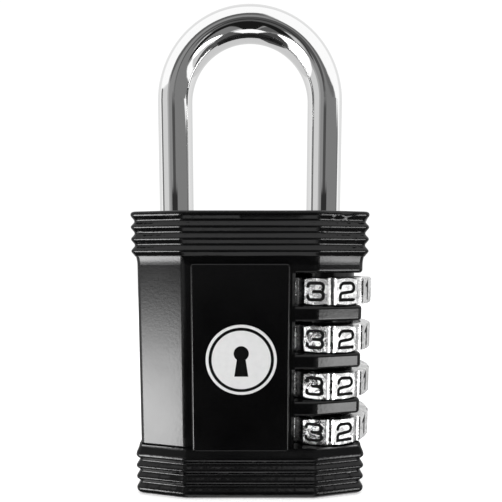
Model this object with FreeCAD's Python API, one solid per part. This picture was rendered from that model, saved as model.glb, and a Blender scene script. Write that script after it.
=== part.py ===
import FreeCAD, Part
import math
import os

# Four-dial combination padlock.  Millimetres, +Z up, front face towards -Y.
# Origin: middle of the underside, in the plane of the shackle.

Vec = FreeCAD.Vector

# ---- body -------------------------------------------------------------------
BODY_HEIGHT = 51.9
BAND_HALF_WIDTH = 21.15
BAND_HALF_DEPTH = 10.95
BAND_FRONT_HALF_WIDTH = 11.85
BODY_HALF_WIDTH = 20.37
BODY_HALF_DEPTH = 9.95
BODY_FRONT_HALF_WIDTH = 11.8
BEVEL_DEPTH = 2.0
SIDE_CORNER_RADIUS = 1.0
FRONT_CORNER_RADIUS = 4.0

RIB_COUNT = 4
RIB_DEPTH = 0.52
RIB_SECTIONS = 8
TOP_RIB_PITCH = 2.1
BOTTOM_RIB_PITCH = 2.1
TOP_RIB_INSET = 0.6
BOTTOM_RIB_INSET = 1.2
TOP_END_ROUND = 0.5
BOTTOM_END_ROUND = 1.15
RIM_START_ANGLE = 72.0
TOP_BAND_TAIL = 0.95
BOTTOM_BAND_TAIL = 1.9
TOP_LAST_HALF_WAVE = TOP_RIB_PITCH / 2
BOTTOM_LAST_HALF_WAVE = 1.9
FLARE_HEIGHT = 1.5
FLARE_OUT = 0.2

PLATE_LEFT = -10.45
PLATE_RIGHT = 7.05
PLATE_BOTTOM = 8.85
PLATE_TOP = 42.85
PLATE_RAISE = 0.75
PLATE_CORNER = 0.6
PLATE_ROUND = 0.4

# ---- badge ------------------------------------------------------------------
BADGE_X = -1.55
BADGE_Z = 25.8
BADGE_RADIUS = 6.3
BADGE_THICKNESS = 0.5
BADGE_STANDOUT = 0.12
BADGE_RING_OUTER = 5.8
BADGE_RING_INNER = 5.25
BADGE_INLAY_DEPTH = 0.15
KEYHOLE_RADIUS = 1.35
KEYHOLE_RISE = 1.15
KEYHOLE_FOOT_HALF = 1.25
KEYHOLE_NECK_HALF = 0.62
KEYHOLE_DROP = 3.3

# ---- shackle ----------------------------------------------------------------
LEG_X = 14.2
ROD_RADIUS = 3.25
BEND_CENTRE_Z = 73.12
TOE_DEPTH = 5.7
TOE_CHAMFER = 0.7
LEG_BORE_RADIUS = 3.33
TOE_BORE_RADIUS = 3.45
TOE_BORE_DEPTH = 6.4
BORE_MOUTH_CHAMFER = 0.4
CORE_RADIUS = 2.3
LEG_END_Z = 6.3
SPRING_BORE_RADIUS = 1.25
SPRING_BORE_TOP_Z = 11.4

# ---- dials ------------------------------------------------------------------
DIAL_COUNT = 4
DIAL_TOP_CENTRE_Z = 37.82
DIAL_PITCH = 8.65
DIAL_HEIGHT = 4.8
FACE_COUNT = 10
FACE_APOTHEM = 9.2
FLUTE_RADIUS = 1.28
FLUTE_CENTRE = 10.23
RIM_RADIUS = 9.45
RIM_CHAMFER = 0.3
FIRST_FACE_ANGLE = -15.7
FIRST_FACE_DIGIT = 3
RING_BORE_RADIUS = 4.25
RING_SLOT_RADIUS = 4.6
RING_SLOT_WIDTH = 1.0
RING_COUNTERBORE_RADIUS = 7.6
RING_COUNTERBORE_DEPTH = 0.6

DIGIT_HALF_WIDTH = 1.38
DIGIT_HALF_HEIGHT = 1.5
STROKE_WIDTH = 0.6
ENGRAVE_DEPTH = 0.25
ENAMEL_DEPTH = 0.2

WINDOW_LEFT = 8.05
WINDOW_BELOW = 2.55
WINDOW_ABOVE = 3.3
WINDOW_LIP = 0.4
SLAB_ROUND = 0.6
POCKET_RADIUS = 9.75
COLLAR_RADIUS = 6.15
COLLAR_CLEARANCE = 0.2

# ---- clutch sleeves and the leg's teeth ---------------------------------------
SLEEVE_BELOW = 4.3
SLEEVE_ABOVE = 4.2
SLEEVE_RADIUS = 4.15
SLEEVE_KEY_RADIUS = 4.5
SLEEVE_KEY_WIDTH = 0.8
SLEEVE_KEY_COUNT = 5
SLEEVE_KEY_HALF_HEIGHT = 2.2
SLEEVE_BORE_RADIUS = 3.45
SHOULDER_HEIGHT = 1.8
SHOULDER_HOLE_RADIUS = 2.45
GATE_HALF_ANGLE = 27.0
TOOTH_HALF_ANGLE = 19.0
TOOTH_HEIGHT = 1.8
TOOTH_GAP = 0.3
COLUMN_BORE_RADIUS = 4.65
COLUMN_TOP_Z = 42.5

# ---- small inner pieces ---------------------------------------------------------
WASHER_THICKNESS = 0.35
WASHER_HOLE_RADIUS = 3.4
WASHER_RADIUS = 4.5
CLIP_BOTTOM_Z = 6.9
CLIP_THICKNESS = 0.65
CLIP_RADIUS = 3.25
CLIP_HOLE_RADIUS = 2.0
CLIP_GAP = 2.6
CLIP_GROOVE_RADIUS = 1.95
CLIP_GROOVE_PLAY = 0.05
SEAT_TOP_Z = 3.4
SEAT_RADIUS = 4.55
SEAT_HOLE_RADIUS = 3.6
RESET_WIRE_RADIUS = 0.25
RESET_COIL_RADIUS = 3.98
RESET_TURNS = 4.25
RESET_PLAY = 0.15
LIFT_WIRE_RADIUS = 0.15
LIFT_COIL_RADIUS = 0.95
LIFT_TURNS = 12

DETENT_SLOT_LEFT = 3.8
DETENT_SLOT_RIGHT = 5.4
DETENT_SLOT_HALF_WIDTH = 2.3
DETENT_STRIP_X = 3.95
DETENT_STRIP_THICKNESS = 0.3
DETENT_STRIP_HALF_WIDTH = 2.0
DETENT_CREST_CLEARANCE = 0.06
DETENT_BUMP_HALF_HEIGHT = 1.3

BASE_THICKNESS = 1.5
BASE_LEFT = -8.5
BASE_RIGHT = 19.3
BASE_HALF_DEPTH = 5.6
BASE_CORNER = 2.0
BASE_PLAY = 0.05
PIN_POSITIONS = (-5.5, 7.35)
PIN_RADIUS = 0.9
PIN_HEAD_RADIUS = 1.6
PIN_HEAD_HEIGHT = 0.7
PIN_TOP_Z = 6.0
PIN_PLAY = 0.03


def dial_centres():
    return [DIAL_TOP_CENTRE_Z - DIAL_PITCH * index for index in range(DIAL_COUNT)]


def box(x0, x1, y0, y1, z0, z1):
    return Part.makeBox(x1 - x0, y1 - y0, z1 - z0, Vec(x0, y0, z0))


def column(radius, z0, z1, x=LEG_X, y=0.0):
    return Part.makeCylinder(radius, z1 - z0, Vec(x, y, z0))


def ring(outer, inner, z0, z1, x=LEG_X, y=0.0):
    return column(outer, z0, z1, x, y).cut(column(inner, z0 - 1, z1 + 1, x, y))


def cone(r0, r1, z0, z1, x=LEG_X, y=0.0):
    return Part.makeCone(r0, r1, z1 - z0, Vec(x, y, z0))


def sector(inner, outer, half_angle, z0, z1, x=LEG_X, y=0.0):
    """Ring segment centred on the direction of the short leg."""
    blank = Part.makeCylinder(outer, z1 - z0, Vec(x, y, z0), Vec(0, 0, 1), 2 * half_angle)
    blank.rotate(Vec(x, y, 0), Vec(0, 0, 1), 180 - half_angle)
    return blank.cut(column(inner, z0 - 1, z1 + 1, x, y))


# ---- body casting -----------------------------------------------------------------

def outline(half_width, half_depth, front_half_width, z):
    """Eight-sided plan with shallow bevels at the front and back."""
    side_y = half_depth - BEVEL_DEPTH
    corners = [
        (-front_half_width, -half_depth), (front_half_width, -half_depth),
        (half_width, -side_y), (half_width, side_y),
        (front_half_width, half_depth), (-front_half_width, half_depth),
        (-half_width, side_y), (-half_width, -side_y),
    ]
    points = [Vec(x, y, z) for x, y in corners]
    return Part.makePolygon(points + points[:1])


def prism(half_width, half_depth, front_half_width, z0, z1):
    """Bevelled block with its upright edges rounded."""
    face = Part.Face(outline(half_width, half_depth, front_half_width, z0))
    solid = face.extrude(Vec(0, 0, z1 - z0))
    side_edges = []
    front_edges = []
    for edge in solid.Edges:
        ends = [vertex.Point for vertex in edge.Vertexes]
        if abs(ends[0].z - ends[1].z) < 0.01:
            continue
        if abs(ends[0].x) > half_width - 0.01:
            side_edges.append(edge)
        else:
            front_edges.append(edge)
    solid = solid.makeFillet(SIDE_CORNER_RADIUS, side_edges)
    front_edges = [
        edge for edge in solid.Edges
        if abs(abs(edge.Vertexes[0].Point.x) - front_half_width) < 0.01
        and abs(edge.Vertexes[0].Point.z - edge.Vertexes[-1].Point.z) > 0.5
    ]
    return solid.makeFillet(FRONT_CORNER_RADIUS, front_edges)


def round_ends(solid, radius, z0, z1):
    """Round every edge around the two level ends of a block."""
    rims = []
    for edge in solid.Edges:
        heights = [vertex.Point.z for vertex in edge.Vertexes]
        level = max(heights) - min(heights) < 0.01
        if level and (abs(heights[0] - z0) < 0.01 or abs(heights[0] - z1) < 0.01):
            rims.append(edge)
    return solid.makeFillet(radius, rims)


def rounded_outline(half_width, half_depth, front_half_width, z):
    """The eight-sided plan with each corner turned by an arc."""
    corners = outline(half_width, half_depth, front_half_width, z).OrderedVertexes
    corners = [vertex.Point for vertex in corners]
    count = len(corners)
    arcs = []
    for index, corner in enumerate(corners):
        is_side = abs(corner.x) > half_width - 0.01
        radius = SIDE_CORNER_RADIUS if is_side else FRONT_CORNER_RADIUS
        back = (corners[index - 1] - corner).normalize()
        ahead = (corners[(index + 1) % count] - corner).normalize()
        half_angle = back.getAngle(ahead) / 2
        setback = radius / math.tan(half_angle)
        inward = (back + ahead).normalize()
        centre = corner + inward * (radius / math.sin(half_angle))
        arcs.append((corner + back * setback, centre - inward * radius, corner + ahead * setback))
    edges = []
    for index, (start, middle, end) in enumerate(arcs):
        edges.append(Part.Arc(start, middle, end).toShape())
        edges.append(Part.makeLine(end, arcs[(index + 1) % count][0]))
    return Part.Wire(edges)


def inset_outline(inset, z):
    """Plan of a band, drawn in from its crests by the inset."""
    return rounded_outline(
        BAND_HALF_WIDTH - inset, BAND_HALF_DEPTH - inset, BAND_FRONT_HALF_WIDTH - inset * 0.1, z)


def rib_wave(reach, pitch, last_half_wave):
    """Inset of the ribs at a distance past the outermost crest."""
    ribs = pitch * (RIB_COUNT - 1)
    phase = 2 * math.pi * reach / pitch if reach <= ribs else math.pi * (reach - ribs) / last_half_wave
    return RIB_DEPTH / 2 * (1 - math.cos(phase))


def band(end_z, inward, first_crest, pitch, end_round, tail, last_half_wave):
    """Ribbed band from its outer end; inward is 1 where it grows up and -1 where it grows down."""
    sections = []
    rim_angle = math.radians(RIM_START_ANGLE)
    for step in range(5):
        angle = rim_angle * (1 - step / 4)
        sections.append((
            end_round * (math.sin(rim_angle) - math.sin(angle)), end_round * (1 - math.cos(angle))))
    ribs = pitch * (RIB_COUNT - 1)
    rib_steps = RIB_SECTIONS * (RIB_COUNT - 1)
    tail_steps = math.ceil(tail / pitch * RIB_SECTIONS)
    reaches = [ribs * step / rib_steps for step in range(rib_steps)]
    reaches += [ribs + tail * step / tail_steps for step in range(tail_steps + 1)]
    for reach in reaches:
        sections.append((first_crest + reach, rib_wave(reach, pitch, last_half_wave)))
    wires = [inset_outline(inset, end_z + inward * depth) for depth, inset in sections]
    return Part.makeLoft(wires, True, False)


def band_lengths():
    """Heights of the top and bottom bands."""
    top = TOP_RIB_INSET + TOP_RIB_PITCH * (RIB_COUNT - 1) + TOP_BAND_TAIL
    bottom = BOTTOM_RIB_INSET + BOTTOM_RIB_PITCH * (RIB_COUNT - 1) + BOTTOM_BAND_TAIL
    return top, bottom


def flare(z_body, z_band):
    """Shallow flare where the body's faces meet a band."""
    wires = []
    for step in range(5):
        share = step / 4
        out = FLARE_OUT * share * share
        wires.append(rounded_outline(
            BODY_HALF_WIDTH + out, BODY_HALF_DEPTH + out, BODY_FRONT_HALF_WIDTH + out * 0.1,
            z_body + (z_band - z_body) * share))
    return Part.makeLoft(wires, True, False)


def body_slab(z0, z1):
    """Right-hand strip between two windows, with softened edges."""
    blank = prism(BODY_HALF_WIDTH, BODY_HALF_DEPTH, BODY_FRONT_HALF_WIDTH, z0, z1)
    blank = round_ends(blank, SLAB_ROUND, z0, z1)
    return blank.common(box(WINDOW_LEFT - 0.5, 30, -15, 15, z0 - 1, z1 + 1))


def collar(centre):
    """Boss above a dial that hangs into its counterbore and closes the gap behind the window."""
    foot = centre + DIAL_HEIGHT / 2 - RING_COUNTERBORE_DEPTH + COLLAR_CLEARANCE
    return column(COLLAR_RADIUS, foot, centre + WINDOW_ABOVE + 0.5)


def middle_blank(z0, z1):
    """Middle of the body, already open on the right at each dial."""
    full = prism(BODY_HALF_WIDTH, BODY_HALF_DEPTH, BODY_FRONT_HALF_WIDTH, z0, z1)
    left = full.common(box(-30, WINDOW_LEFT, -15, 15, z0 - 1, z1 + 1))
    lip = WINDOW_LIP
    for side in (-1, 1):
        bevel = box(-lip, lip, -lip, lip, z0 - 1, z1 + 1)
        bevel.rotate(Vec(0, 0, 0), Vec(0, 0, 1), 45)
        bevel.translate(Vec(WINDOW_LEFT, side * BODY_HALF_DEPTH, 0))
        for centre in dial_centres():
            span = box(-30, 30, -15, 15, centre - WINDOW_BELOW, centre + WINDOW_ABOVE)
            left = left.cut(bevel.common(span))
    centres = dial_centres()
    strips = []
    for upper, lower in zip(centres[:-1], centres[1:]):
        strips.append(body_slab(lower + WINDOW_ABOVE, upper - WINDOW_BELOW))
    top = body_slab(centres[0] + WINDOW_ABOVE, z1 + 2)
    bottom = body_slab(z0 - 2, centres[-1] - WINDOW_BELOW)
    collars = [collar(centre) for centre in centres]
    return left.multiFuse(strips + [top, bottom] + collars)


def raised_plate(side):
    """Thin raised panel on the front (side -1) or back (side 1) face."""
    depth = PLATE_RAISE + 1.0
    y0 = -BODY_HALF_DEPTH - PLATE_RAISE if side < 0 else BODY_HALF_DEPTH - 1.0
    plate = box(PLATE_LEFT, PLATE_RIGHT, y0, y0 + depth, PLATE_BOTTOM, PLATE_TOP)
    corners = [edge for edge in plate.Edges if abs(edge.tangentAt(edge.FirstParameter).y) > 0.9]
    plate = plate.makeFillet(PLATE_CORNER, corners)
    outer_y = side * (BODY_HALF_DEPTH + PLATE_RAISE)
    rims = [
        edge for edge in plate.Edges
        if all(abs(vertex.Point.y - outer_y) < 0.01 for vertex in edge.Vertexes)
    ]
    return plate.makeFillet(PLATE_ROUND, rims)


def base_outline(play, z0, z1):
    blank = box(
        BASE_LEFT - play, BASE_RIGHT + play, -BASE_HALF_DEPTH - play, BASE_HALF_DEPTH + play, z0, z1)
    corners = [edge for edge in blank.Edges if abs(edge.tangentAt(edge.FirstParameter).z) > 0.9]
    return blank.makeFillet(BASE_CORNER, corners)


def body_casting():
    top_length, bottom_length = band_lengths()
    top_start = BODY_HEIGHT - top_length
    pieces = [
        band(
            BODY_HEIGHT, -1, TOP_RIB_INSET, TOP_RIB_PITCH, TOP_END_ROUND, TOP_BAND_TAIL,
            TOP_LAST_HALF_WAVE),
        band(
            0, 1, BOTTOM_RIB_INSET, BOTTOM_RIB_PITCH, BOTTOM_END_ROUND, BOTTOM_BAND_TAIL,
            BOTTOM_LAST_HALF_WAVE),
        flare(top_start - FLARE_HEIGHT, top_start + 0.1),
    ]
    pieces.append(raised_plate(-1))
    pieces.append(raised_plate(1))
    body = middle_blank(bottom_length - 0.3, top_start + 0.3).multiFuse(pieces)

    cutters = []
    for centre in dial_centres():
        pocket = column(POCKET_RADIUS, centre - WINDOW_BELOW, centre + WINDOW_ABOVE)
        cutters.append(pocket.cut(collar(centre)))
    cutters.append(column(COLUMN_BORE_RADIUS, BASE_THICKNESS - 0.1, COLUMN_TOP_Z))
    cutters.append(column(LEG_BORE_RADIUS, COLUMN_TOP_Z - 0.1, BODY_HEIGHT + 1))
    cutters.append(column(TOE_BORE_RADIUS, BODY_HEIGHT - TOE_BORE_DEPTH, BODY_HEIGHT + 1, -LEG_X))
    for x, radius in ((LEG_X, LEG_BORE_RADIUS), (-LEG_X, TOE_BORE_RADIUS)):
        cutters.append(cone(
            radius, radius + BORE_MOUTH_CHAMFER, BODY_HEIGHT - BORE_MOUTH_CHAMFER, BODY_HEIGHT, x))
    cutters.append(box(
        DETENT_SLOT_LEFT, DETENT_SLOT_RIGHT, -DETENT_SLOT_HALF_WIDTH, DETENT_SLOT_HALF_WIDTH,
        BASE_THICKNESS - 0.1, dial_centres()[0] + WINDOW_ABOVE))
    cutters.append(base_outline(BASE_PLAY, -1, BASE_THICKNESS))
    for x in PIN_POSITIONS:
        cutters.append(column(PIN_RADIUS + PIN_PLAY, 0, PIN_TOP_Z + 0.3, x))
    cutters.append(badge_disc(BADGE_RADIUS + 0.04, BADGE_STANDOUT - BADGE_THICKNESS, 2.0))
    return body.cut(Part.makeCompound(cutters))


# ---- badge ------------------------------------------------------------------------

def badge_disc(radius, back, front):
    """Disc on the front panel; back and front are heights above the panel."""
    panel_y = -BODY_HALF_DEPTH - PLATE_RAISE
    return Part.makeCylinder(radius, front - back, Vec(BADGE_X, panel_y - back, BADGE_Z), Vec(0, -1, 0))


def keyhole(back, front):
    """Plain keyhole sign: a round head over a widening foot."""
    panel_y = -BODY_HALF_DEPTH - PLATE_RAISE
    head = Part.makeCylinder(
        KEYHOLE_RADIUS, front - back,
        Vec(BADGE_X, panel_y - back, BADGE_Z + KEYHOLE_RISE), Vec(0, -1, 0))
    foot_z = BADGE_Z - KEYHOLE_DROP + 0.3
    corners = [
        (BADGE_X - KEYHOLE_FOOT_HALF, foot_z), (BADGE_X + KEYHOLE_FOOT_HALF, foot_z),
        (BADGE_X + KEYHOLE_NECK_HALF, BADGE_Z + KEYHOLE_RISE),
        (BADGE_X - KEYHOLE_NECK_HALF, BADGE_Z + KEYHOLE_RISE),
    ]
    points = [Vec(x, panel_y - back, z) for x, z in corners]
    foot = Part.Face(Part.makePolygon(points + points[:1])).extrude(Vec(0, back - front, 0))
    return head.fuse(foot).removeSplitter()


def badge_recesses(floor, front):
    hoop = badge_disc(BADGE_RING_OUTER, floor, front).cut(badge_disc(BADGE_RING_INNER, floor - 1, front + 1))
    return [hoop, keyhole(floor, front)]


def badge():
    disc = badge_disc(BADGE_RADIUS, BADGE_STANDOUT - BADGE_THICKNESS, BADGE_STANDOUT)
    rim_y = -BODY_HALF_DEPTH - PLATE_RAISE - BADGE_STANDOUT
    rims = [edge for edge in disc.Edges if abs(edge.CenterOfMass.y - rim_y) < 0.01]
    disc = disc.makeFillet(0.08, rims)
    return disc.cut(Part.makeCompound(badge_recesses(BADGE_STANDOUT - BADGE_INLAY_DEPTH, BADGE_STANDOUT + 1)))


def badge_inlay():
    """Black enamel lying just below the face of the badge."""
    floor = BADGE_STANDOUT - BADGE_INLAY_DEPTH
    return Part.makeCompound(badge_recesses(floor, floor + BADGE_INLAY_DEPTH - 0.04))


# ---- base -------------------------------------------------------------------------

def base_plate():
    plate = base_outline(0, 0, BASE_THICKNESS)
    for x in PIN_POSITIONS:
        plate = plate.cut(column(PIN_RADIUS + PIN_PLAY, -1, BASE_THICKNESS + 1, x))
        plate = plate.cut(cone(
            PIN_HEAD_RADIUS + PIN_PLAY, PIN_RADIUS + PIN_PLAY, 0, PIN_HEAD_HEIGHT, x))
    return plate


def base_pins():
    pins = []
    for x in PIN_POSITIONS:
        shank = column(PIN_RADIUS, 0, PIN_TOP_Z, x)
        head = cone(PIN_HEAD_RADIUS, PIN_RADIUS, 0, PIN_HEAD_HEIGHT, x)
        pins.append(shank.fuse(head).removeSplitter())
    return Part.makeCompound(pins)


# ---- shackle ----------------------------------------------------------------------

def tooth_span(centre):
    top = centre + SLEEVE_ABOVE - SHOULDER_HEIGHT - TOOTH_GAP
    return top - TOOTH_HEIGHT, top


def shackle():
    rod_end = COLUMN_TOP_Z - 0.05
    bend = Part.makeTorus(LEG_X, ROD_RADIUS, Vec(0, 0, 0), Vec(0, 0, 1), 0, 360, 180)
    bend.rotate(Vec(0, 0, 0), Vec(1, 0, 0), 90)
    bend.translate(Vec(0, 0, BEND_CENTRE_Z))
    long_leg = column(ROD_RADIUS, rod_end, BEND_CENTRE_Z)
    toe_end = BODY_HEIGHT - TOE_DEPTH
    toe_tip = cone(ROD_RADIUS - TOE_CHAMFER, ROD_RADIUS, toe_end, toe_end + TOE_CHAMFER, -LEG_X)
    short_leg = column(ROD_RADIUS, toe_end + TOE_CHAMFER, BEND_CENTRE_Z, -LEG_X)
    pieces = [long_leg, short_leg, toe_tip, column(CORE_RADIUS, LEG_END_Z, rod_end + 1)]
    for centre in dial_centres():
        z0, z1 = tooth_span(centre)
        pieces.append(sector(CORE_RADIUS - 0.3, ROD_RADIUS, TOOTH_HALF_ANGLE, z0, z1))
    solid = bend.multiFuse(pieces).removeSplitter()
    solid = solid.cut(column(SPRING_BORE_RADIUS, LEG_END_Z - 1, SPRING_BORE_TOP_Z))
    groove = ring(
        CORE_RADIUS + 1, CLIP_GROOVE_RADIUS,
        CLIP_BOTTOM_Z - CLIP_GROOVE_PLAY, CLIP_BOTTOM_Z + CLIP_THICKNESS + CLIP_GROOVE_PLAY)
    return solid.cut(groove)


def retaining_clip():
    z1 = CLIP_BOTTOM_Z + CLIP_THICKNESS
    clip = ring(CLIP_RADIUS, CLIP_HOLE_RADIUS, CLIP_BOTTOM_Z, z1)
    return clip.cut(box(LEG_X, LEG_X + 10, -CLIP_GAP / 2, CLIP_GAP / 2, 0, z1 + 1))


# ---- coil springs -----------------------------------------------------------------

def coil(coil_radius, wire_radius, turns, z0, z1):
    """Round-wire spring whose wire stays between the two heights."""
    rise = z1 - z0 - 2 * wire_radius
    path = Part.makeHelix(rise / turns, rise, coil_radius)
    start = Part.makeCircle(wire_radius, Vec(coil_radius, 0, 0), Vec(0, 1, 0))
    spring = Part.Wire(path).makePipeShell([Part.Wire(start)], True, True)
    spring.translate(Vec(LEG_X, 0, z0 + wire_radius))
    return spring


def lift_spring():
    return coil(LIFT_COIL_RADIUS, LIFT_WIRE_RADIUS, LIFT_TURNS, BASE_THICKNESS + 0.1, SPRING_BORE_TOP_Z - 0.1)


def reset_spring():
    top = dial_centres()[-1] - SLEEVE_BELOW - RESET_PLAY
    return coil(RESET_COIL_RADIUS, RESET_WIRE_RADIUS, RESET_TURNS, SEAT_TOP_Z + 0.06, top)


def spring_seat():
    return ring(SEAT_RADIUS, SEAT_HOLE_RADIUS, BASE_THICKNESS + 0.02, SEAT_TOP_Z)


def thrust_washer():
    z1 = COLUMN_TOP_Z - 0.06
    return ring(WASHER_RADIUS, WASHER_HOLE_RADIUS, z1 - WASHER_THICKNESS, z1)


# ---- detent spring ------------------------------------------------------------------

def detent_spring():
    """Flat strip with one blunt bump beside each dial."""
    y0 = -DETENT_STRIP_HALF_WIDTH
    y1 = DETENT_STRIP_HALF_WIDTH
    x1 = DETENT_STRIP_X + DETENT_STRIP_THICKNESS
    crest_x = LEG_X - RIM_RADIUS - DETENT_CREST_CLEARANCE
    strip_top = dial_centres()[0] + WINDOW_ABOVE - 0.3
    pieces = [box(DETENT_STRIP_X, x1, y0, y1, BASE_THICKNESS + 0.05, strip_top)]
    half = DETENT_BUMP_HALF_HEIGHT
    for centre in dial_centres():
        corners = [
            (x1 - 0.1, centre - half), (crest_x, centre - half * 0.3),
            (crest_x, centre + half * 0.3), (x1 - 0.1, centre + half),
        ]
        points = [Vec(x, y0, z) for x, z in corners]
        bump = Part.Face(Part.makePolygon(points + points[:1])).extrude(Vec(0, y1 - y0, 0))
        pieces.append(bump)
    return pieces[0].multiFuse(pieces[1:]).removeSplitter()


# ---- digits -------------------------------------------------------------------------

def rounded_path(corners, closed):
    """Corner list of (x, y, radius) turned into a smooth run of points."""
    count = len(corners)
    path = []
    for index, (x, y, radius) in enumerate(corners):
        is_end = not closed and index in (0, count - 1)
        if is_end or radius <= 0:
            path.append((x, y))
            continue
        before = corners[index - 1]
        after = corners[(index + 1) % count]
        in_angle = math.atan2(y - before[1], x - before[0])
        out_angle = math.atan2(after[1] - y, after[0] - x)
        turn = (out_angle - in_angle + math.pi) % (2 * math.pi) - math.pi
        setback = radius * math.tan(abs(turn) / 2)
        side = 1 if turn > 0 else -1
        start_x = x - setback * math.cos(in_angle)
        start_y = y - setback * math.sin(in_angle)
        centre_x = start_x - side * radius * math.sin(in_angle)
        centre_y = start_y + side * radius * math.cos(in_angle)
        steps = max(2, round(abs(turn) / math.radians(22.5)))
        for step in range(steps + 1):
            heading = in_angle + turn * step / steps
            path.append((
                centre_x + side * radius * math.sin(heading),
                centre_y - side * radius * math.cos(heading)))
    return path


def offset_side(path, distance, closed):
    """Points beside a path, joined with mitres."""
    count = len(path)
    result = []
    for index, (x, y) in enumerate(path):
        headings = []
        if closed or index > 0:
            px, py = path[index - 1]
            headings.append(math.atan2(y - py, x - px))
        if closed or index < count - 1:
            nx, ny = path[(index + 1) % count]
            headings.append(math.atan2(ny - y, nx - x))
        first = headings[0]
        turn = (headings[-1] - first + math.pi) % (2 * math.pi) - math.pi
        heading = first + turn / 2
        reach = distance / max(math.cos(turn / 2), 0.3)
        result.append((x - reach * math.sin(heading), y + reach * math.cos(heading)))
    return result


def polygon_prism(points, depth):
    corners = [Vec(x, y, -depth) for x, y in points]
    face = Part.Face(Part.makePolygon(corners + corners[:1]))
    return face.extrude(Vec(0, 0, depth * 2))


def end_cap(path, at_start):
    """Half circle closing one end of a stroke."""
    tip, inner = (path[0], path[1]) if at_start else (path[-1], path[-2])
    heading = math.atan2(tip[1] - inner[1], tip[0] - inner[0])
    points = []
    for step in range(1, 4):
        angle = heading - math.pi / 2 + math.pi * step / 4
        points.append((
            tip[0] + STROKE_WIDTH / 2 * math.cos(angle), tip[1] + STROKE_WIDTH / 2 * math.sin(angle)))
    return points


def stroke(corners, closed, depth):
    path = rounded_path(corners, closed)
    left = offset_side(path, STROKE_WIDTH / 2, closed)
    right = offset_side(path, -STROKE_WIDTH / 2, closed)
    if closed:
        loops = [polygon_prism(left, depth), polygon_prism(right, depth)]
        loops.sort(key=lambda loop: loop.Volume)
        return loops[1].cut(loops[0])
    outline_points = right + end_cap(path, False) + left[::-1] + end_cap(path, True)
    return polygon_prism(outline_points, depth)


def digit_strokes(digit):
    """Corner lists (x, y, rounding) of a plain rounded numeral."""
    a = DIGIT_HALF_WIDTH
    b = DIGIT_HALF_HEIGHT
    bowl = b / 2 - 0.06
    six = [
        ([(-a, 0.18, bowl), (a, 0.18, bowl), (a, -b, bowl), (-a, -b, bowl)], True),
        ([(-a, -b / 2 + 0.1, 0), (-a, b, 1.0), (a - 0.15, b, 0)], False),
    ]
    shapes = {
        0: [([(-a, b, 1.0), (a, b, 1.0), (a, -b, 1.0), (-a, -b, 1.0)], True)],
        1: [([(-0.55, b - 0.6, 0), (0.15, b, 0), (0.15, -b, 0)], False)],
        2: [([(-a, b - 0.85, 0), (-a, b, 0.75), (a, b, 0.78), (a, -0.02, 0.65), (-a, -0.32, 0.5),
              (-a, -b, 0), (a, -b, 0)], False)],
        3: [([(-a, b - 0.6, 0), (-a, b, 0.5), (a, b, bowl), (a, 0, bowl), (-0.35, 0, 0)], False),
            ([(-0.35, 0, 0), (a, 0, bowl), (a, -b, bowl), (-a, -b, bowl * 0.85), (-a, -b + 0.7, 0)], False)],
        4: [([(0.5, -b, 0), (0.5, b, 0), (-a, -0.55, 0)], False),
            ([(-a, -0.55, 0), (a, -0.55, 0)], False)],
        5: [([(a - 0.1, b, 0), (-a + 0.1, b, 0), (-a + 0.02, 0.3, 0), (a, 0.3, 0.8),
              (a, -b, 0.8), (-a, -b, 0.55), (-a, -b + 0.7, 0)], False)],
        6: six,
        7: [([(-a, b, 0), (a, b, 0), (-0.35, -b, 0)], False)],
        8: [([(-a + 0.1, b, 0.62), (a - 0.1, b, 0.62), (a - 0.1, 0.06, 0.62), (-a + 0.1, 0.06, 0.62)], True),
            ([(-a, 0.06, bowl), (a, 0.06, bowl), (a, -b, bowl), (-a, -b, bowl)], True)],
        9: [([(-x, -y, rounding) for x, y, rounding in corners], closed) for corners, closed in six],
    }
    return shapes[digit]


def digit_solid(digit, depth):
    """Numeral centred on the origin, reaching depth above and below z = 0."""
    parts = [stroke(corners, closed, depth) for corners, closed in digit_strokes(digit)]
    if len(parts) == 1:
        return parts[0]
    return parts[0].multiFuse(parts[1:]).removeSplitter()


def place_on_face(solid, face_index, height_above_face, z_middle):
    """Stand a numeral up on one face of a dial."""
    placed = solid.copy()
    placed.translate(Vec(0, 0, FACE_APOTHEM + height_above_face))
    placed.rotate(Vec(0, 0, 0), Vec(1, 0, 0), 90)
    placed.rotate(Vec(0, 0, 0), Vec(0, 0, 1), FIRST_FACE_ANGLE + 360 / FACE_COUNT * face_index)
    placed.translate(Vec(LEG_X, 0, z_middle))
    return placed


def digit_on_face(face_index):
    return (FIRST_FACE_DIGIT - face_index) % FACE_COUNT


# ---- dials --------------------------------------------------------------------------

def dial_blank():
    """Ten flat faces with rounded flutes between them, centred on z = 0."""
    half = DIAL_HEIGHT / 2
    step = 2 * math.pi / FACE_COUNT
    corner_radius = FACE_APOTHEM / math.cos(step / 2)
    start = math.radians(FIRST_FACE_ANGLE - 90) + step / 2
    points = []
    for index in range(FACE_COUNT):
        angle = start + step * index
        points.append(Vec(
            LEG_X + corner_radius * math.cos(angle), corner_radius * math.sin(angle), -half))
    blank = Part.Face(Part.makePolygon(points + points[:1])).extrude(Vec(0, 0, DIAL_HEIGHT))
    rim = column(RIM_RADIUS, -half + RIM_CHAMFER, half - RIM_CHAMFER)
    upper = cone(RIM_RADIUS, RIM_RADIUS - RIM_CHAMFER, half - RIM_CHAMFER, half)
    lower = cone(RIM_RADIUS - RIM_CHAMFER, RIM_RADIUS, -half, -half + RIM_CHAMFER)
    blank = blank.common(rim.multiFuse([upper, lower]).removeSplitter())
    flutes = []
    for index in range(FACE_COUNT):
        angle = start + step * index
        flutes.append(column(
            FLUTE_RADIUS, -half - 1, half + 1,
            LEG_X + FLUTE_CENTRE * math.cos(angle), FLUTE_CENTRE * math.sin(angle)))
    return blank.cut(Part.makeCompound(flutes))


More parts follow.
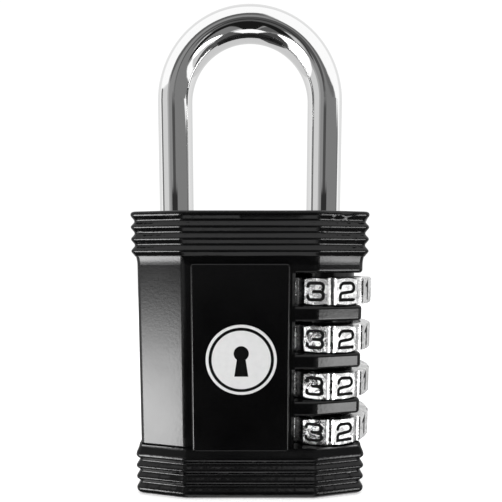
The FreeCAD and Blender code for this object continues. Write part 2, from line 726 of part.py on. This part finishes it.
def key_bars(radius, width, count, z0, z1):
    """Radial bars around the dial axis."""
    bars = []
    for index in range(count):
        bar = box(LEG_X + 3.0, LEG_X + radius, -width / 2, width / 2, z0, z1)
        bar.rotate(Vec(LEG_X, 0, 0), Vec(0, 0, 1), 360 / count * index)
        bars.append(bar)
    return bars


def dial_ring():
    """Number ring, centred on z = 0."""
    half = DIAL_HEIGHT / 2
    blank = dial_blank()
    blank = blank.cut(column(RING_BORE_RADIUS, -half - 1, half + 1))
    for z0, z1 in ((half - RING_COUNTERBORE_DEPTH, half + 1), (-half - 1, -half + RING_COUNTERBORE_DEPTH)):
        blank = blank.cut(column(RING_COUNTERBORE_RADIUS, z0, z1))
    slots = key_bars(RING_SLOT_RADIUS, RING_SLOT_WIDTH, FACE_COUNT, -half - 1, half + 1)
    blank = blank.cut(Part.makeCompound(slots))
    marks = []
    for face_index in range(FACE_COUNT):
        numeral = digit_solid(digit_on_face(face_index), ENGRAVE_DEPTH)
        marks.append(place_on_face(numeral, face_index, 0, 0))
    return blank.cut(Part.makeCompound(marks))


def digit_enamel():
    """Paint on the floor of each engraved numeral, centred on z = 0."""
    fills = []
    for face_index in range(FACE_COUNT):
        numeral = digit_solid(digit_on_face(face_index), ENAMEL_DEPTH / 2)
        fills.append(place_on_face(numeral, face_index, ENAMEL_DEPTH / 2 - ENGRAVE_DEPTH, 0))
    return Part.makeCompound(fills)


def clutch_sleeve():
    """Gated sleeve inside a number ring, in the ring's own height frame."""
    sleeve = column(SLEEVE_RADIUS, -SLEEVE_BELOW, SLEEVE_ABOVE)
    keys = key_bars(
        SLEEVE_KEY_RADIUS, SLEEVE_KEY_WIDTH, SLEEVE_KEY_COUNT,
        -SLEEVE_KEY_HALF_HEIGHT, SLEEVE_KEY_HALF_HEIGHT)
    sleeve = sleeve.multiFuse(keys)
    shoulder_z = SLEEVE_ABOVE - SHOULDER_HEIGHT
    sleeve = sleeve.cut(column(SLEEVE_BORE_RADIUS, -SLEEVE_BELOW - 1, shoulder_z))
    sleeve = sleeve.cut(column(SHOULDER_HOLE_RADIUS, shoulder_z - 1, SLEEVE_ABOVE + 1))
    gate = sector(1.0, SLEEVE_BORE_RADIUS, GATE_HALF_ANGLE, shoulder_z - 1, SLEEVE_ABOVE + 1)
    return sleeve.cut(gate)


# ---- writing the parts ------------------------------------------------------------------

def lifted(shape, height):
    moved = shape.copy()
    moved.translate(Vec(0, 0, height))
    return moved


def main():
    os.makedirs("parts", exist_ok=True)
    nodes = {
        "body_casting": body_casting(),
        "badge": badge(),
        "badge_inlay": badge_inlay(),
        "base_plate": base_plate(),
        "base_pins": base_pins(),
        "shackle": shackle(),
        "retaining_clip": retaining_clip(),
        "lift_spring": lift_spring(),
        "reset_spring": reset_spring(),
        "spring_seat": spring_seat(),
        "thrust_washer": thrust_washer(),
        "detent_spring": detent_spring(),
    }
    number_ring = dial_ring()
    enamel = digit_enamel()
    sleeve = clutch_sleeve()
    for index, centre in enumerate(dial_centres(), start=1):
        nodes[f"dial_ring_{index}"] = lifted(number_ring, centre)
        nodes[f"digit_enamel_{index}"] = lifted(enamel, centre)
        nodes[f"clutch_sleeve_{index}"] = lifted(sleeve, centre)
    for name, shape in nodes.items():
        shape.exportStep(f"parts/{name}.step")
        print(name, len(shape.Solids), round(shape.Volume, 2), shape.isValid())


main()
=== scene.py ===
import math

import bpy
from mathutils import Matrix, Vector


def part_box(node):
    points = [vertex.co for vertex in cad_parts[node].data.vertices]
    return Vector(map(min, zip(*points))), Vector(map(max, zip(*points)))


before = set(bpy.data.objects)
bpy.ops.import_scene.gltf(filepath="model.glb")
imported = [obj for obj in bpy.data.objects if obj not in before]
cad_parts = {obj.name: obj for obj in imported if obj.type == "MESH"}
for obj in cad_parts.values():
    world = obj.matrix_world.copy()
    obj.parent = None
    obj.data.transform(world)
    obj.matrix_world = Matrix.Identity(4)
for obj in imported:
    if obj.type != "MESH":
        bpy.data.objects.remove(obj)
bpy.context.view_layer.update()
scene = bpy.context.scene

# ---- picture ------------------------------------------------------------------
scene.view_settings.view_transform = "Standard"
scene.view_settings.look = "None"
scene.view_settings.exposure = 0.0
scene.view_settings.gamma = 1.0
scene.cycles.use_denoising = True
scene.cycles.max_bounces = 8
scene.cycles.glossy_bounces = 6
scene.cycles.sample_clamp_indirect = 6.0

# ---- camera -------------------------------------------------------------------
# A wide lens close to the front of the body, above its middle and tilted slightly down.  The shift
# brings the whole shackle into the frame.  Distances in metres, the lens and sensor in millimetres.
LENS_DISTANCE = 0.0799
LENS_HEIGHT = 0.04306
LENS_LENGTH = 32.988
SENSOR_WIDTH = 36.0
DOWNWARD_TILT = 5.67
SHIFT_X = 0.002
SHIFT_Y = 0.113
NEAR_CLIP = 0.005
FAR_CLIP = 20.0

front_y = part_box("body_casting")[0].y
cam_data = bpy.data.cameras.new("camera")
cam_data.sensor_width = SENSOR_WIDTH
cam_data.lens = LENS_LENGTH
cam_data.shift_x = SHIFT_X
cam_data.shift_y = SHIFT_Y
cam_data.clip_start = NEAR_CLIP
cam_data.clip_end = FAR_CLIP
camera = bpy.data.objects.new("camera", cam_data)
scene.collection.objects.link(camera)
camera.location = (0.0, front_y - LENS_DISTANCE, LENS_HEIGHT)
camera.rotation_euler = (math.radians(90.0 - DOWNWARD_TILT), 0.0, 0.0)
scene.camera = camera

# ---- studio -------------------------------------------------------------------
TENT_RADIUS = 0.6
TENT_CENTRE_Z = 0.045
TENT_COLUMNS = 360
TENT_ROWS = 180
FLOOR_RADIUS = 0.5
FLOOR_SIDES = 96
FLOOR_Z = -0.00002
BACKDROP_LIGHT = 1.05

# Brightness of the table as the lock mirrors it.
PLAIN_TABLE = 0.9
PALE_TABLE = 1.8
LEFT_TABLE_FAR = 1.6
LEFT_TABLE_NEAR = 27.0
LEFT_TABLE_FOOT = 12.0
RIGHT_TABLE_FAR = 1.5
RIGHT_TABLE_NEAR = 16.0
RIGHT_TABLE_FOOT = 9.0

# Brightness of the tent above the table: in front, behind, and low down behind.
TENT_FRONT = 1.5
TENT_BACK = 1.1
TENT_LOW_BACK = 0.95


def smooth(low, high, value):
    """0 at low, 1 at high, eased in between and flat beyond; low may be the greater one."""
    share = min(1.0, max(0.0, (value - low) / (high - low)))
    return share * share * (3.0 - 2.0 * share)


def between(low, high, soft, value):
    """1 from low to high, falling to 0 over soft on each side."""
    return smooth(low - soft, low, value) * (1.0 - smooth(high, high + soft, value))


def mix(first, second, share):
    """First at share 0, second at share 1."""
    return first + (second - first) * share


# Light cards, painted in this order: brightness, left and right edge, bottom at the left and
# right edge, top at the left and right edge, softness.  Directions are in degrees.
CARDS = (
    (0.95, -82, -44, 1, 1, 26, 27, 1.2),         # pale wall at the left
    (0.55, -44, -34, 1, 1, 29, 33, 1.5),         # its darker end
    (0.38, -34, 5, 1, 1, 35, 45, 1.5),           # grey wall ahead
    (0.30, 5, 52, 3, 3, 31, 26, 1.2),            # grey wall at the right
    (0.30, 52, 86, 4, 6, 26, 16, 1.2),           # its lower end
    (0.17, -35, 3, 27, 33, 33, 44, 1.5),         # dark top rail ahead
    (0.20, 3, 52, 25, 22, 30, 25, 1.2),          # dark top rail at the right
    (0.11, -13, 3, 3, 3, 20, 20, 2.0),           # dark post ahead
    (0.04, -22, 13, 6, 6, 9, 9, 1.5),            # black rail ahead
    (0.22, -96, -83, 1, 1, 26, 26, 1.0),         # dark seam at the far left
    (0.22, 84, 93, 5, 5, 20, 16, 1.0),           # dark seam at the far right
    (1.55, 41, 84, -6, -8, 2, 4, 1.5),           # white strip at the right
    (0.40, 34, 41, -3, -3, 3, 3, 1.5),           # its shaded end
    (0.12, 60, 88, -60, -60, -30, -6, 3.0),      # dark ground at the far right
    (0.10, -150, -30, -90, -90, -44, -38, 2.5),  # dark ground at the left foot
    (0.14, 28, 100, -90, -90, -40, -40, 2.5),    # dark ground at the right foot
    (0.32, -33, -26, -45, -45, 1, 1, 1.5),       # dark edge beside the left table light
    (0.85, -26, -14, -20, -20, 1, 1, 2.0),       # grey fill for the dials
    (0.16, -26, -12, -50, -50, -22, -22, 2.0),   # dark ground ahead, left
    (0.30, 10, 34, -42, -42, -4, 2, 2.0),        # grey ground ahead, right
    (0.15, -14, 12, -12, -12, 3, 3, 2.0),        # grey horizon ahead
    (0.015, -26, 33, -27, -6, -11, 3, 2.0),      # black cloth across the front
    (0.015, -9, 10, -50, -50, -8, -8, 2.0),      # black cloth straight ahead
    (1.60, -28, 28, -90, -90, -52, -52, 2.0),    # white ground at the foot
)


def table_light(turn, rise):
    """Bright table at both sides of the lock, strongest close to it."""
    left = mix(LEFT_TABLE_FAR, LEFT_TABLE_NEAR, smooth(-2.0, -18.5, rise))
    left = mix(left, LEFT_TABLE_FOOT, smooth(-24.0, -34.0, rise))
    right = mix(RIGHT_TABLE_FAR, RIGHT_TABLE_NEAR, smooth(-2.0, -13.0, rise))
    right = mix(right, RIGHT_TABLE_FOOT, smooth(-19.0, -26.0, rise))
    level = mix(PLAIN_TABLE, PALE_TABLE, between(-84.0, -34.0, 2.0, turn))
    level = mix(level, left, between(-53.0, -34.0, 2.0, turn))
    return mix(level, right, smooth(32.0, 34.0, turn) * smooth(50.0, 41.0, turn))


def tent_level(turn, rise):
    """Brightness of the tent; turn is 0 straight ahead of the lock and + toward +X, rise is + upward."""
    above = mix(TENT_FRONT, TENT_BACK, smooth(95.0, 115.0, abs(turn)))
    above = mix(above, TENT_LOW_BACK, smooth(125.0, 150.0, abs(turn)) * smooth(30.0, 20.0, rise))
    level = mix(table_light(turn, rise), above, smooth(-1.0, 1.0, rise))
    for card_level, left, right, low_left, low_right, high_left, high_right, soft in CARDS:
        share = (turn - left) / (right - left)
        low = mix(low_left, low_right, share)
        high = mix(high_left, high_right, share)
        level = mix(level, card_level, between(left, right, soft, turn) * between(low, high, soft, rise))
    return level


def add_mesh(name, vertices, faces):
    """Put a new mesh object into the scene."""
    mesh = bpy.data.meshes.new(name)
    mesh.from_pydata(vertices, [], faces)
    mesh.update()
    item = bpy.data.objects.new(name, mesh)
    scene.collection.objects.link(item)
    return item


def light_tent():
    """Closed ball of soft light round the lock, hidden from the camera."""
    vertices = []
    levels = []
    for row in range(TENT_ROWS + 1):
        rise = -90.0 + 180.0 * row / TENT_ROWS
        flat = math.cos(math.radians(rise))
        for column in range(TENT_COLUMNS):
            turn = -180.0 + 360.0 * column / TENT_COLUMNS
            vertices.append((
                TENT_RADIUS * flat * math.sin(math.radians(turn)),
                -TENT_RADIUS * flat * math.cos(math.radians(turn)),
                TENT_CENTRE_Z + TENT_RADIUS * math.sin(math.radians(rise))))
            levels.append(tent_level(turn, rise))
    faces = []
    for row in range(TENT_ROWS):
        below = row * TENT_COLUMNS
        above = below + TENT_COLUMNS
        for column in range(TENT_COLUMNS):
            after = (column + 1) % TENT_COLUMNS
            faces.append((below + column, below + after, above + after, above + column))
    tent = add_mesh("light_tent", vertices, faces)
    attribute = tent.data.attributes.new("level", "FLOAT", "POINT")
    attribute.data.foreach_set("value", levels)
    material = bpy.data.materials.new("tent_light")
    material.use_nodes = True
    nodes = material.node_tree.nodes
    links = material.node_tree.links
    nodes.clear()
    reader = nodes.new("ShaderNodeAttribute")
    reader.attribute_name = "level"
    glow = nodes.new("ShaderNodeEmission")
    output = nodes.new("ShaderNodeOutputMaterial")
    links.new(reader.outputs["Fac"], glow.inputs["Strength"])
    links.new(glow.outputs[0], output.inputs["Surface"])
    tent.data.materials.append(material)
    tent.visible_camera = False
    return tent


world = bpy.data.worlds.new("world")
world.use_nodes = True
background = world.node_tree.nodes["Background"]
background.inputs["Color"].default_value = (1.0, 1.0, 1.0, 1.0)
background.inputs["Strength"].default_value = BACKDROP_LIGHT
scene.world = world

tent = light_tent()

# The floor hides from reflections, where the lower half of the tent stands in for it.
floor_points = []
for corner in range(FLOOR_SIDES):
    angle = math.tau * corner / FLOOR_SIDES
    floor_points.append((FLOOR_RADIUS * math.cos(angle), FLOOR_RADIUS * math.sin(angle), FLOOR_Z))
floor = add_mesh("floor", floor_points, [tuple(range(FLOOR_SIDES))])
floor.visible_glossy = False


# ---- materials ------------------------------------------------------------------
class Graph:
    """One material and short ways to add nodes to it.  Noise scales count per metre of the piece."""

    def __init__(self, name):
        self.material = bpy.data.materials.new(name)
        self.material.use_nodes = True
        self.nodes = self.material.node_tree.nodes
        self.links = self.material.node_tree.links
        self.shader = self.nodes["Principled BSDF"]
        coordinates = self.nodes.new("ShaderNodeTexCoord")
        self.place = coordinates.outputs["Object"]
        self.normal = coordinates.outputs["Normal"]

    def noise(self, scale, detail=4.0, rough=0.55, stretch=None, distortion=0.0):
        """Cloudy pattern; a stretch below 1 draws it out along that axis."""
        source = self.place
        if stretch:
            mapping = self.nodes.new("ShaderNodeMapping")
            mapping.inputs["Scale"].default_value = stretch
            self.links.new(source, mapping.inputs["Vector"])
            source = mapping.outputs[0]
        node = self.nodes.new("ShaderNodeTexNoise")
        node.inputs["Scale"].default_value = scale
        node.inputs["Detail"].default_value = detail
        node.inputs["Roughness"].default_value = rough
        node.inputs["Distortion"].default_value = distortion
        self.links.new(source, node.inputs["Vector"])
        return node.outputs["Fac"]

    def facing_sideways(self):
        """1 on faces square to the X axis, 0 on faces turned well away from it."""
        parts = self.nodes.new("ShaderNodeSeparateXYZ")
        self.links.new(self.normal, parts.inputs[0])
        return self.share(self.maths("ABSOLUTE", parts.outputs["X"], 0.0), 0.85, 0.97)

    def share(self, value, low, high):
        """0 below low, 1 above high."""
        return self.remap(value, low, high, 0.0, 1.0)

    def remap(self, value, low, high, new_low, new_high):
        """Low becomes new_low and high becomes new_high; the result stays between them."""
        node = self.nodes.new("ShaderNodeMapRange")
        node.clamp = True
        for socket, amount in zip(node.inputs[1:5], (low, high, new_low, new_high)):
            socket.default_value = amount
        self.links.new(value, node.inputs[0])
        return node.outputs[0]

    def maths(self, operation, first, second):
        """Plain arithmetic on numbers or sockets."""
        node = self.nodes.new("ShaderNodeMath")
        node.operation = operation
        for socket, amount in zip(node.inputs, (first, second)):
            if isinstance(amount, (int, float)):
                socket.default_value = amount
            else:
                self.links.new(amount, socket)
        return node.outputs[0]

    def add(self, first, second):
        return self.maths("ADD", first, second)

    def times(self, value, factor):
        return self.maths("MULTIPLY", value, factor)

    def blend(self, share, first, second):
        """Colour from first to second; each is a colour or a socket."""
        node = self.nodes.new("ShaderNodeMix")
        node.data_type = "RGBA"
        for socket, amount in ((node.inputs[6], first), (node.inputs[7], second)):
            if isinstance(amount, tuple):
                socket.default_value = (*amount, 1.0)
            else:
                self.links.new(amount, socket)
        self.links.new(share, node.inputs[0])
        return node.outputs[2]

    def bump(self, height, strength, distance, before=None):
        """Relief of a height pattern, on top of an earlier relief if there is one."""
        node = self.nodes.new("ShaderNodeBump")
        node.inputs["Strength"].default_value = strength
        node.inputs["Distance"].default_value = distance
        self.links.new(height, node.inputs["Height"])
        if before:
            self.links.new(before, node.inputs["Normal"])
        return node.outputs[0]

    def set(self, name, value):
        """Give a shader socket a number, a colour or another socket's output."""
        if isinstance(value, (int, float)):
            self.shader.inputs[name].default_value = value
        elif isinstance(value, tuple):
            self.shader.inputs[name].default_value = (*value, 1.0)
        else:
            self.links.new(value, self.shader.inputs[name])


def grey(value):
    """Neutral colour."""
    return (value, value, value)


def black_coat():
    """Glossy black powder coat: orange peel, faint dust, hairline rubs, flat sides rubbed satin."""
    g = Graph("black_coat_look")
    dust = g.share(g.noise(2600.0, detail=6.0, rough=0.7), 0.66, 0.78)
    cloud = g.noise(90.0, detail=5.0, rough=0.6)
    rubs = g.share(g.noise(420.0, detail=3.0, rough=0.5, stretch=(1.0, 1.0, 0.12)), 0.68, 0.76)
    coat = g.blend(g.share(cloud, 0.3, 0.7), (0.0016, 0.0016, 0.0018), (0.0034, 0.0034, 0.0036))
    g.set("Base Color", g.blend(g.times(dust, 0.08), coat, grey(0.16)))
    glossy = g.remap(cloud, 0.25, 0.75, 0.13, 0.21)
    rubbed = g.add(glossy, g.times(rubs, 0.07))
    g.set("Roughness", g.add(rubbed, g.times(g.facing_sideways(), 0.34)))
    g.set("IOR", 1.33)
    peel = g.bump(g.noise(1900.0, detail=2.0, rough=0.5), strength=0.30, distance=0.00003)
    grain = g.noise(5200.0, detail=3.0, rough=0.6)
    g.set("Normal", g.bump(grain, strength=0.05, distance=0.00001, before=peel))
    return g.material


def polished_chrome():
    """Mirror plate on the bar: cloudy roughness, small dull spots, hairlines, a trace of ripple."""
    g = Graph("polished_chrome_look")
    tone = 0.64
    cloud = g.noise(140.0, detail=5.0, rough=0.6)
    hairlines = g.noise(900.0, detail=2.0, rough=0.5, stretch=(1.0, 1.0, 0.02))
    spots = g.share(g.noise(3200.0, detail=4.0, rough=0.6), 0.70, 0.80)
    g.set("Base Color", g.blend(g.times(spots, 0.35), grey(tone), grey(0.6 * tone)))
    g.set("Metallic", 1.0)
    polish = g.remap(cloud, 0.3, 0.7, 0.02, 0.05)
    g.set("Roughness", g.add(polish, g.times(hairlines, 0.02)))
    scratched = g.bump(hairlines, strength=0.03, distance=0.000004)
    ripple = g.noise(300.0, detail=2.0, rough=0.5)
    g.set("Normal", g.bump(ripple, strength=0.03, distance=0.00002, before=scratched))
    return g.material


def dial_chrome():
    """Plated casting worn by fingers: blotchy tone, soft dents and small dark pits."""
    g = Graph("dial_chrome_look")
    blotch = g.share(g.noise(620.0, detail=4.0, rough=0.65, distortion=0.6), 0.44, 0.60)
    speckle = g.share(g.noise(2700.0, detail=4.0, rough=0.6), 0.40, 0.62)
    tone = g.blend(blotch, grey(0.48), grey(0.80))
    tone = g.blend(g.times(speckle, 0.35), tone, grey(0.30))
    pits = g.remap(g.noise(3600.0, detail=3.0, rough=0.6), 0.68, 0.76, 0.0, 0.6)
    g.set("Base Color", g.blend(pits, tone, grey(0.12)))
    g.set("Metallic", 1.0)
    wear = g.remap(blotch, 0.0, 1.0, 0.16, 0.30)
    g.set("Roughness", g.add(wear, g.times(speckle, 0.06)))
    dents = g.bump(g.noise(900.0, detail=3.0, rough=0.6), strength=0.20, distance=0.00004)
    grain = g.noise(4200.0, detail=3.0, rough=0.6)
    g.set("Normal", g.bump(grain, strength=0.10, distance=0.00001, before=dents))
    return g.material


def black_enamel():
    """Black filling paint, slightly uneven."""
    g = Graph("black_enamel_look")
    g.set("Base Color", g.blend(g.noise(1500.0), grey(0.002), grey(0.006)))
    g.set("Roughness", g.remap(g.noise(900.0), 0.3, 0.7, 0.35, 0.55))
    g.set("IOR", 1.15)
    g.set("Normal", g.bump(g.noise(2600.0, detail=3.0), strength=0.2, distance=0.00002))
    return g.material


def badge_silver():
    """Bright satin disc with a fine grain."""
    g = Graph("badge_silver_look")
    grain = g.noise(2400.0, detail=4.0, rough=0.6, stretch=(0.15, 1.0, 1.0))
    g.set("Base Color", g.blend(g.noise(900.0), grey(0.72), grey(0.84)))
    g.set("Metallic", 0.15)
    g.set("Roughness", g.remap(grain, 0.3, 0.7, 0.32, 0.46))
    g.set("Normal", g.bump(grain, strength=0.05, distance=0.00001))
    return g.material


def steel(name, tone):
    """Plain turned or drawn metal for the inner pieces."""
    g = Graph(name)
    grain = g.noise(1300.0, detail=4.0, rough=0.6, stretch=(1.0, 1.0, 6.0))
    g.set("Base Color", g.blend(g.noise(400.0, detail=5.0), grey(tone), grey(1.35 * tone)))
    g.set("Metallic", 1.0)
    g.set("Roughness", g.remap(grain, 0.3, 0.7, 0.26, 0.46))
    g.set("Normal", g.bump(grain, strength=0.12, distance=0.00001))
    return g.material


def pale_floor():
    """White card that glows a little, so that it stays white round the foot of the lock."""
    g = Graph("floor_look")
    g.set("Base Color", g.blend(g.noise(30.0), grey(0.86), grey(0.88)))
    g.set("Roughness", g.remap(g.noise(60.0), 0.3, 0.7, 0.7, 0.8))
    g.set("Normal", g.bump(g.noise(900.0), strength=0.05, distance=0.00005))
    g.set("Emission Color", grey(1.0))
    g.set("Emission Strength", 0.45)
    return g.material


# Every CAD piece has one material slot, named after its finish.
looks = {
    "black_coat": black_coat(),
    "polished_chrome": polished_chrome(),
    "dial_chrome": dial_chrome(),
    "black_enamel": black_enamel(),
    "badge_silver": badge_silver(),
    "sleeve_steel": steel("sleeve_steel_look", 0.10),
    "plain_steel": steel("plain_steel_look", 0.45),
    "spring_steel": steel("spring_steel_look", 0.32),
}
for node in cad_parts.values():
    finish = node.data.materials[0].name.split(".")[0]
    node.data.materials[0] = looks[finish]
floor.data.materials.append(pale_floor())
